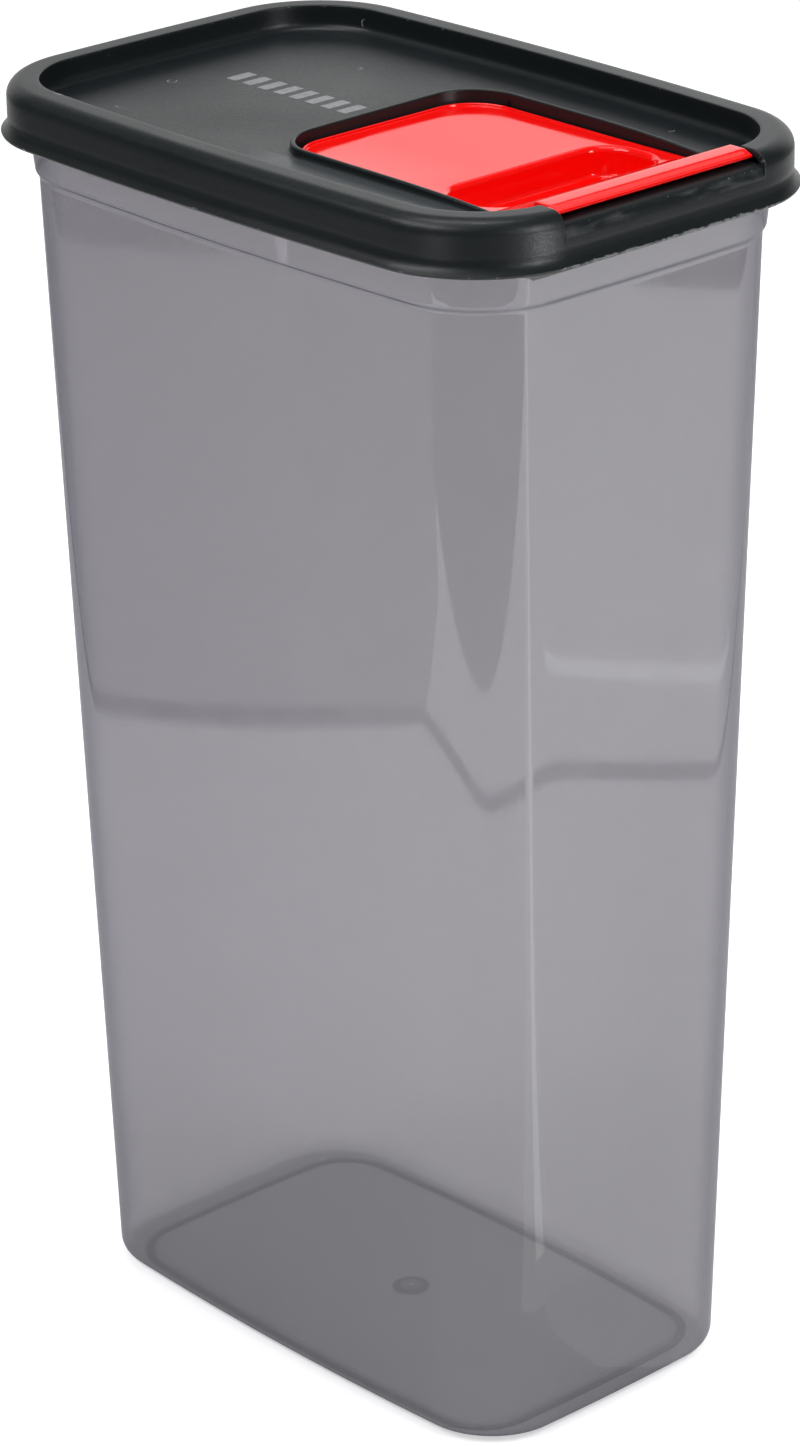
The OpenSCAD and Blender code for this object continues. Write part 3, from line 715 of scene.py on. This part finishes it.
def make_lid_panel():
    """The recessed panel, from the rim's fillet to the well's edge."""
    outer = lid_outline(-RIM_W - FILLET)
    # The outline without the stations that face the well, started beside it
    k = sum(1 for y in SIDE_OUT if y > WELL_B + 0.8)
    front = [p for s, p in enumerate(outer) if not (k <= s < N_SIDE - k)]
    ring = np.array(front[k:] + front[:k])
    x_end = ring[0][0]
    loop = np.concatenate([ring, hole_path(0.6, x_end)])
    mesh = Mesh()
    mesh.fill(loop, [], PANEL)
    mesh.fill(loop, [], UNDER)
    mesh.grid(loft([(loop, PANEL), (loop, UNDER)]))
    return piece("lid_panel", mesh, "lid", LID)


def hole_path(o, x_end, n=44):
    """The well's edge moved out by o, open at the front, from -Y round the rear to +Y."""
    x0, half, r = WELL_X0 - o, WELL_B + o, WELL_R + o
    xs = np.linspace(x_end, x0 + r, n + 1)[:-1]
    side = np.stack([xs, np.full(n, -half)], 1)
    rear0 = arc(x0 + r, -half + r, r, 270, 180, 22)
    ys = np.linspace(-half + r, half - r, 24)[1:-1]
    rear = np.stack([np.full(len(ys), x0), ys], 1)
    rear1 = arc(x0 + r, half - r, r, 180, 90, 22)
    back = np.stack([xs[::-1], np.full(n, half)], 1)
    return np.concatenate([side, rear0, rear, rear1, back])


def make_lip():
    """Raised lip round the well, with the well's wall below it."""
    paths = {}

    def path(o):
        k = round(o, 4)
        if k not in paths:
            paths[k] = hole_path(k, LIP_END)
        return paths[k]

    x, y = path(0).T
    h = (lip_top(x) - PANEL) * (1 + LIP_LEAN / LIP_H * y)
    r_in, r_out, foot_r = np.minimum(LIP_IN, h), np.minimum(LIP_OUT, 0.5 * h), np.minimum(LIP_FOOT, 0.42 * h)
    rows = [(path(0), z) for z in (WELL_FLOOR, 288.0, 290.6, 292.4)] + [(path(0), PANEL + h - r_in)]
    for t in np.radians(np.linspace(15, 90, 6)):
        rows.append((path(LIP_IN * (1 - math.cos(t))), PANEL + h - r_in + r_in * math.sin(t)))
    for t in np.radians(np.linspace(90, 8, 7)):
        rows.append((path(LIP_W - LIP_OUT + LIP_OUT * math.cos(t)), PANEL + h - r_out * (1 - math.sin(t))))
    for t in np.radians(np.linspace(10, 90, 6)):
        rows.append((path(LIP_W + LIP_FOOT * (1 - math.cos(t))), PANEL - 0.01 + foot_r * (1 - math.sin(t))))
    rows += [(path(2.2), 293.4)] + [(path(WELL_WALL), z) for z in (292.6, 290.0, WELL_FLOOR)]
    mesh = Mesh()
    wear_and_shade = np.zeros(len(rows))
    wear_and_shade[7:10] = 0.25
    mesh.grid(loft(rows), False, True, wear_and_shade, True)
    obj = piece("lid_well_lip", mesh, "lid", LID, (), 42)
    # Bosses and blind bores for the hinge pins
    for s in (-1, 1):
        cylinder_cut(obj, s, BOSS_R, BOSS_Y, "UNION")
        cylinder_cut(obj, s, PIN_R + PIN_PLAY, BORE_Y, "DIFFERENCE")
    return obj


def hinge_circle(r):
    """Points (x, z) round the hinge's axis."""
    return arc(HINGE_X, HINGE_Z, r, 0, 360, 48)[:-1]


def cylinder_cut(obj, s, r, ys, operation):
    """Joins or cuts a cylinder along the hinge's axis, on the side s of the middle."""
    mesh = Mesh()
    mesh.grid([[(x, s * y, z) for y in ys] for x, z in hinge_circle(r)])
    for y in ys:
        mesh.cap([(x, s * y, z) for x, z in hinge_circle(r)])
    tool = piece("tool", mesh, "lid", LID)
    mod = obj.modifiers.new("bore", "BOOLEAN")
    mod.object, mod.operation, mod.solver = tool, operation, "EXACT"
    bpy.context.view_layer.update()
    done = bpy.data.meshes.new_from_object(obj.evaluated_get(bpy.context.evaluated_depsgraph_get()))
    obj.modifiers.clear()
    obj.data = done
    bpy.data.objects.remove(tool)


def pour_outline(o):
    """The pouring hole's outline moved out by o."""
    return rounded(POUR_A + o, POUR_B + o, POUR_R + o, 16, 20, 16, False) + [POUR_X, 0]


def basin(o):
    """The outline of the basin under the flap's rear end, moved out by o."""
    return tray(WELL_X0 - o, BASIN_X + o, WELL_B + o, WELL_R + o, max(0.8 + o, 0.3))


def make_well_floor():
    """Floor of the well with the pouring hole, and the basin that the flap's rear end swings into."""
    mesh = Mesh()
    x0, x1, half = BASIN_X + WELL_WALL, 78.2, WELL_B + WELL_WALL
    plate = joined([(np.array([[x1, half]]), 30), (np.array([[x0, half]]), 20),
                    (np.array([[x0, -half]]), 30), (np.array([[x1, -half]]), 20)])
    low, soft = WELL_FLOOR - WELL_WALL, 0.3
    hole, grown = pour_outline(0), pour_outline(soft)
    mesh.fill(plate, [grown], WELL_FLOOR)
    mesh.fill(plate, [grown], low)
    mesh.grid(loft([(plate, WELL_FLOOR), (plate, low)]))
    mesh.grid(loft([(grown, WELL_FLOOR), (hole, WELL_FLOOR - soft), (hole, low + soft), (grown, low)]))
    # Basin, inside and outside
    r, bottom = BASIN_R, BASIN_FLOOR - WELL_WALL
    inner = [(basin(0), WELL_FLOOR), (basin(0), BASIN_FLOOR + r)]
    inner += [(basin(r * (math.cos(t) - 1)), BASIN_FLOOR + r - r * math.sin(t))
              for t in np.radians([22, 45, 67, 90])]
    r = BASIN_OUT_R
    outer = [(basin(-BASIN_R), bottom)]
    outer += [(basin(WELL_WALL - r + r * math.sin(t)), bottom + r - r * math.cos(t))
              for t in np.radians([20, 45, 70, 90])]
    outer += [(basin(WELL_WALL), WELL_FLOOR)]
    for rows, end in ((inner, inner[-1]), (outer, outer[0])):
        mesh.grid(loft(rows))
        mesh.fill(end[0], [], end[1])
    mesh.grid(loft([inner[0], outer[-1]]))
    return piece("lid_well_floor", mesh, "lid", LID)


make_lid_rim()
make_lid_panel()
make_lip()
make_well_floor()


# ---------------------------------------------------------------- flap
def flap_outline(o):
    """The flap's outline moved out by o."""
    return tray(FLAP_X0 - o, FLAP_X1 + o, FLAP_B + o, FLAP_R + o, max(0.3, 0.3 - o * 0.6))


def tray_level(x):
    """Height of the flap's floor, rising gently towards the spout."""
    return TRAY + TRAY_RISE * np.clip(x, 0, None)


def make_tray():
    """The flap's rim, floor and finger trough, with their undersides."""
    mesh = Mesh()
    # Cove from the floor up to the wall, the wall's round top, and its outside and underside
    floor_edge = flap_outline(-FLAP_WALL - COVE)
    level = tray_level(floor_edge[:, 0])
    rows = [(flap_outline(-FLAP_WALL - COVE + COVE * math.sin(t)), level + 0.2 * (1 - math.cos(t)))
            for t in np.radians(np.linspace(0, 90, 6))]
    r = FLAP_WALL / 2
    rows += [(flap_outline(o), np.maximum(z, level + 0.2))
             for o, z in turn(-r, TRAY_TOP - r, r, r, 180, 0, 12)[1:]]
    soft = 0.25
    rows += [(flap_outline(o), z) for o, z in
             [(0, TRAY_SKIRT + soft), (-soft, TRAY_SKIRT), (soft - FLAP_WALL, TRAY_SKIRT),
              (-FLAP_WALL, TRAY_SKIRT + soft), (-FLAP_WALL, TRAY_UNDER)]]
    mesh.grid(loft(rows))
    # Finger trough: rounded edge, leaning wall, rounded foot
    cup, r = [], TROUGH_EDGE
    for t in np.radians(np.linspace(0, 90, 8)):
        line = trough(r - r * math.sin(t))
        cup.append((line, tray_level(line[:, 0]) - r + r * math.cos(t)))
    r = TROUGH_FOOT
    cup += [(trough(-0.15), TRAY - 2.0)]
    cup += [(trough(-TROUGH_LEAN - r + r * math.cos(t)), TROUGH + r - r * math.sin(t))
            for t in np.radians(np.linspace(0, 90, 8))]
    mesh.grid(loft(cup))
    mesh.fill(cup[-1][0], [], TROUGH)
    mesh.fill(floor_edge, [cup[0][0]], tray_level)
    shell = [(trough(1.5), TRAY_UNDER), (trough(1.5), TROUGH_UNDER + 1.2), (trough(1.1), TROUGH_UNDER + 0.35),
             (trough(0.3), TROUGH_UNDER)]
    mesh.grid(loft(shell))
    mesh.fill(shell[-1][0], [], TROUGH_UNDER)
    mesh.fill(rows[-1][0], [shell[0][0]], TRAY_UNDER)
    return piece("flap_tray", mesh, "flap", FLAP, ["pouring_flap"], 50)


def make_sweep():
    """The floor's sweep up from the trough to the front wall."""
    x, z = SWEEP_X + 0.7, 294.05
    prof = [(SWEEP_X, 287.5), (SWEEP_X, 293.2), (SWEEP_X + 0.15, 293.75), (x, z)]
    prof += [(x + d, z + 0.16 * d + 0.011 * d * d) for d in (1, 2.5, 4.5, 7, 10, 13, 14.6)]
    prof += [(SWEEP_X + 15.3, 289.6), (SWEEP_X + 1.5, 289.6)]
    mesh = Mesh()
    mesh.grid([[(x, y, z) for x, z in prof] for y in (-SWEEP_B, -9, 9, SWEEP_B)], False, True, 0.0, True)
    return piece("flap_sweep", mesh, "flap", FLAP, (), 50)


def make_tab():
    """Front wall of the flap and the bar that lies in the notch, swept along Y with rounded ends."""
    r = TAB_ROUND
    x0, z0 = TAB_X - 0.02, TRAY_SKIRT + 0.02
    prof = [(x0, z) for z in (z0, 291.5, 294.0, 297.0, 299.0)]
    prof += turn(x0 + r, TOP - r, r, r, 180, 90, 5)
    prof += [(77.4, TOP), (78.8, TOP), (80.0, TOP)]
    # Chamfered front edge, round nose and the bar's underside
    prof += [(80.2, 299.96), (80.8, 299.73), (81.4, 299.48), (82.0, 299.22)]
    prof += turn(82.1, 298.75, 0.48, 0.45, 66, -60, 6)
    prof += [(81.3, 298.05), (80.6, 297.72), (79.9, 297.62), (78.5, 297.6), (77.4, 297.6)]
    prof += [(TAB_FRONT, z) for z in (297.3, 294, 290, z0)]
    p = np.array(prof)
    d = np.roll(p, -1, 0) - np.roll(p, 1, 0)
    n = np.stack([-d[:, 1], d[:, 0]], 1)
    n /= np.linalg.norm(n, axis=1, keepdims=True)
    half = FLAP_B + 0.03
    ends = [half - s for s in (0, 0.06, 0.18, 0.32, TAB_END)]
    ys = [-y for y in ends] + list(np.linspace(-half + 2, half - 2, 14)) + ends[::-1]
    rows = [[(x, y, z) for x, z in p - n * round_off(half - abs(y), TAB_END)] for y in ys]
    mesh = Mesh()
    mesh.grid(rows, False, True, 0.0, True)
    return piece("flap_tab", mesh, "flap", FLAP, (), 50)


def make_ring_and_pins():
    """Plug ring that reaches into the pouring hole, and the two hinge pins."""
    mesh = Mesh()
    prof = [(-0.4, 290.9), (-0.4, 285.0), (-0.55, 284.7), (-0.75, 284.6), (-1.4, 284.6), (-1.6, 284.8),
            (-1.7, 290.9)]
    # The ring stays below the trough's floor
    below = np.abs(pour_outline(prof[0][0])[:, 0] - TROUGH_X) < TROUGH_W + 0.9
    rows = [(pour_outline(o), np.where(below, np.minimum(z, TROUGH - 0.6), z)) for o, z in prof]
    mesh.grid(loft(rows), True, True)
    for s in (-1, 1):
        pin = [(PIN_R, 28.2), (PIN_R, PIN_END - 0.4), (PIN_R - 0.12, PIN_END - 0.12), (PIN_R - 0.4, PIN_END)]
        rings = [[(x, s * y, z) for x, z in hinge_circle(r)] for r, y in pin]
        mesh.grid(np.array(rings).transpose(1, 0, 2))
        mesh.cap(rings[0])
        mesh.cap(rings[-1])
    return piece("flap_underside", mesh, "flap", FLAP)


make_tray()
make_sweep()
make_tab()
make_ring_and_pins()


# ---------------------------------------------------------------- printed bars
def make_print():
    """A plain row of upright bars on the panel."""
    mesh = Mesh()
    for k in range(BARS):
        bar = rounded(BAR_A, BAR_B, BAR_R, 4, 2, 2, False) + [BAR_X + BAR_PITCH * k, BAR_Y]
        mesh.face(bar, PANEL + PRINT_UP)
        mesh.face(bar, PANEL - PRINT_DOWN)
        mesh.grid(loft([(bar, PANEL - PRINT_DOWN), (bar, PANEL + PRINT_UP)]))
    return piece("lid_print", mesh, "lid", PRINT)


make_print()


# ---------------------------------------------------------------- stage, lights and camera
def plane(name, centre, size, material, facing=None):
    """A stage rectangle, in metres, turned towards the point facing."""
    data = bpy.data.meshes.new(name)
    a, b = size[0] / 2, size[1] / 2
    data.from_pydata([(-a, -b, 0), (a, -b, 0), (a, b, 0), (-a, b, 0)], [], [(0, 1, 2, 3)])
    obj = bpy.data.objects.new(name, data)
    bpy.context.scene.collection.objects.link(obj)
    obj.location = centre
    if facing is not None:
        obj.rotation_euler = (Vector(facing) - Vector(centre)).to_track_quat("Z", "Y").to_euler()
    data.materials.append(material)
    return obj


def floor_material():
    """Pale floor that reads white to the camera and keeps the object's shadow."""
    m = Nodes("floor")
    path = m.new("ShaderNodeLightPath")
    direct = m.math("MAXIMUM", path.outputs["Is Camera Ray"],
                    m.math("MAXIMUM", path.outputs["Is Glossy Ray"], path.outputs["Is Transmission Ray"]))
    plain = m.principled(Base_Color=rgba(0.86, 0.86, 0.87), Roughness=0.9)
    glow = m.new("ShaderNodeEmission")
    m.put(glow.inputs["Color"], rgba(1, 1, 1))
    m.put(glow.inputs["Strength"], m.math("MULTIPLY", direct, 0.45))
    both = m.new("ShaderNodeAddShader")
    m.put(both.inputs[0], plain)
    m.put(both.inputs[1], glow.outputs[0])
    return m.finish(both.outputs[0])


def card_material(name, strength):
    """An even glow."""
    m = Nodes(name)
    glow = m.new("ShaderNodeEmission")
    m.put(glow.inputs["Strength"], strength)
    return m.finish(glow.outputs[0])


def backdrop_material():
    """Bright wall, a little brighter to the camera's right."""
    m = Nodes("backdrop_card")
    glow = m.new("ShaderNodeEmission")
    m.put(glow.inputs["Strength"], m.ramp(m.axis(m.coord, 0), -0.25, 0.25, 0.82, 1.20))
    return m.finish(glow.outputs[0])


def only_reflected(obj):
    """A studio card that shows only in reflections."""
    obj.visible_camera = obj.visible_diffuse = obj.visible_shadow = obj.visible_transmission = False


def area(name, location, target, size, power):
    """An area lamp aimed at a target."""
    data = bpy.data.lights.new(name, "AREA")
    data.shape, data.size, data.size_y, data.energy = "RECTANGLE", size[0], size[1], power
    obj = bpy.data.objects.new(name, data)
    bpy.context.scene.collection.objects.link(obj)
    obj.location = location
    obj.rotation_euler = (Vector(target) - Vector(location)).to_track_quat("-Z", "Y").to_euler()
    return obj


# The studio's cards are laid out in metres towards the camera ("fwd") and to its right ("side")
TOWARD = Vector((0.743, -0.669, 0))
RIGHT = Vector((0.669, 0.743, 0))


def card(name, corners, z, strength):
    """A flat studio card on the table, seen only in reflections; corners are (fwd, side) in metres."""
    data = bpy.data.meshes.new(name)
    points = [TOWARD * f + RIGHT * s for f, s in corners]
    data.from_pydata([(p.x, p.y, z) for p in points], [], [tuple(range(len(points)))])
    obj = bpy.data.objects.new(name, data)
    bpy.context.scene.collection.objects.link(obj)
    data.materials.append(card_material(name, strength))
    only_reflected(obj)
    return obj


def strip(name, a, b, width, z, strength):
    """A straight strip of card from a to b."""
    (f0, s0), (f1, s1) = a, b
    k = width / 2 / math.hypot(f1 - f0, s1 - s0)
    df, ds = -(s1 - s0) * k, (f1 - f0) * k
    return card(name, [(f0 + df, s0 + ds), (f1 + df, s1 + ds), (f1 - df, s1 - ds), (f0 - df, s0 - ds)],
                z, strength)


def make_world():
    """Soft light on matt surfaces, and a dim ceiling in reflections."""
    world = bpy.data.worlds.new("studio")
    bpy.context.scene.world = world
    world.use_nodes = True
    nt = world.node_tree
    sky = nt.nodes["Background"].inputs["Strength"]
    nt.nodes["Background"].inputs["Color"].default_value = (1, 1, 1, 1)
    sky.default_value = 0.4
    path = nt.nodes.new("ShaderNodeLightPath")
    dim = nt.nodes.new("ShaderNodeMapRange")
    nt.links.new(path.outputs["Is Glossy Ray"], dim.inputs["Value"])
    dim.inputs["To Min"].default_value, dim.inputs["To Max"].default_value = 0.4, 0.08
    nt.links.new(dim.outputs[0], sky)


def make_lamps():
    """Three soft lamps, of which only the left one shows in reflections."""
    area("top", (-0.25, 0.3, 1.25), (0, 0, 0.25), (1.3, 1.3), 6).visible_glossy = False
    area("strip_left", (-0.19, -0.92, 1.19), (0, 0, 0.27), (1.1, 0.26), 8)
    area("strip_right", (0.90, 0.29, 1.19), (0, 0, 0.27), (1.1, 0.26), 8).visible_glossy = False


def make_room():
    """What the glossy surfaces mirror above the table."""
    backdrop = plane("backdrop", (-1.34, 1.2, 0.75), (3.2, 1.5), backdrop_material(), (0, 0, 0.75))
    only_reflected(backdrop)
    # Tall soft light on the right, pale ceiling and a tube lamp under it
    centre = TOWARD * 0.82 + RIGHT * 0.88
    level = 0.65
    window = plane("window", (centre.x, centre.y, level), (0.22, 0.6), card_material("window", 15.0),
                   (0, 0, level))
    only_reflected(window)
    ceiling, tube = 1.60, 1.50
    card("ceiling", [(-0.74, -0.9), (-0.74, 0.25), (1.0, 0.25), (1.0, -0.9)], ceiling, 0.70)
    card("ceiling_back", [(-1.35, 0.1), (-1.35, 0.9), (-0.80, 0.9), (-0.80, 0.1)], ceiling, 0.80)
    strip("lamp", (-0.06, -0.56), (0.09, 0.24), 0.05, tube, 36.0)


def make_table():
    """The pale table that the body mirrors: flat cards a little above the floor, the later ones on top."""
    ground, table, flag, gap, soft, bright = 0.0010, 0.0012, 0.0014, 0.0016, 0.0017, 0.0018
    far, deep, dark = 0.80, 4.0, 0.12
    card("dark_left", [(-deep, -far), (far, -far), (deep, -deep), (-deep, -deep)], ground, dark)
    card("dark_right", [(-deep, far), (far, far), (deep, deep), (-deep, deep)], ground, dark)
    card("dark_front", [(far, -far), (far, far), (deep, deep), (deep, -deep)], ground, dark)
    # The right half is lit more than the left
    card("table_left", [(0.33, -0.38), (-1.0, -0.38), (-1.0, -far), (0.50, -far)], table, 0.72)
    card("table_right", [(0.06, 0.06), (0.50, 0.50), (0.62, far), (-0.5, far), (-0.5, 0.1)], table, 1.55)
    # Dark floor beyond the front edge, and the dark gap round the table with its rounded front
    edge = [(0.46 - 0.5 * q * q if q < 0 else 0.46 + 0.08 * q, q) for q in np.linspace(-0.48, 0.50, 15)]
    card("flag", edge + [(0.70, 0.85), (far, far), (far, -far), (0.55, -far)], flag, 0.45)
    strip("gap_left", (-1.0, -0.390), (0.03, -0.390), 0.012, gap, 0.0)
    strip("gap_right", (-0.4, 0.420), (0.03, 0.390), 0.010, gap, 0.3)
    round_r, round_c = 0.36, 0.03
    front = [(round_c + round_r * math.cos(a), round_r * math.sin(a) - round_c)
             for a in np.radians(np.linspace(-90, 0, 9))]
    front += [(f, -q) for f, q in reversed(front)]
    for k, (a, b) in enumerate(zip(front, front[1:])):
        strip("gap_front_%d" % k, a, b, 0.012, gap, 0.2)
    # Glows and streaks of lamps on the table
    strip("glow_right", (0.50, 0.64), (0.90, 1.06), 0.26, bright, 18.0)
    strip("glow_left", (0.80, -0.52), (1.25, -0.90), 0.24, bright, 6.0)
    strip("band_right", (-0.10, 0.466), (0.17, 0.452), 0.014, gap, 2.4)
    strip("streak_soft", (0.09, 0.08), (0.62, 0.70), 0.070, soft, 1.7)
    strip("streak_right", (0.10, 0.10), (0.62, 0.71), 0.022, bright, 2.6)


# The photograph's camera: where it stands, its right and forward directions, and its lens
CAMERA_AT = (0.81562, -0.73534, 0.61875)
CAMERA_RIGHT, CAMERA_FORWARD = (0.67385, 0.73872, -0.01478), (-0.68342, 0.61556, -0.39245)
LENS = 127.55


def make_camera():
    """The camera solved on the photograph's outlines."""
    right = Vector(CAMERA_RIGHT).normalized()
    forward = Vector(CAMERA_FORWARD).normalized()
    up = right.cross(forward)
    data = bpy.data.cameras.new("camera")
    data.sensor_width = 36.0
    data.lens = LENS
    data.clip_end = 50
    cam = bpy.data.objects.new("camera", data)
    bpy.context.scene.collection.objects.link(cam)
    turned = Matrix((right, up, -forward)).transposed().to_4x4()
    cam.matrix_world = Matrix.Translation(CAMERA_AT) @ turned
    bpy.context.scene.camera = cam


plane("floor", (0, 0, 0), (12, 12), floor_material())
make_world()
make_lamps()
make_room()
make_table()
make_camera()
bpy.context.scene.view_settings.view_transform = "Standard"
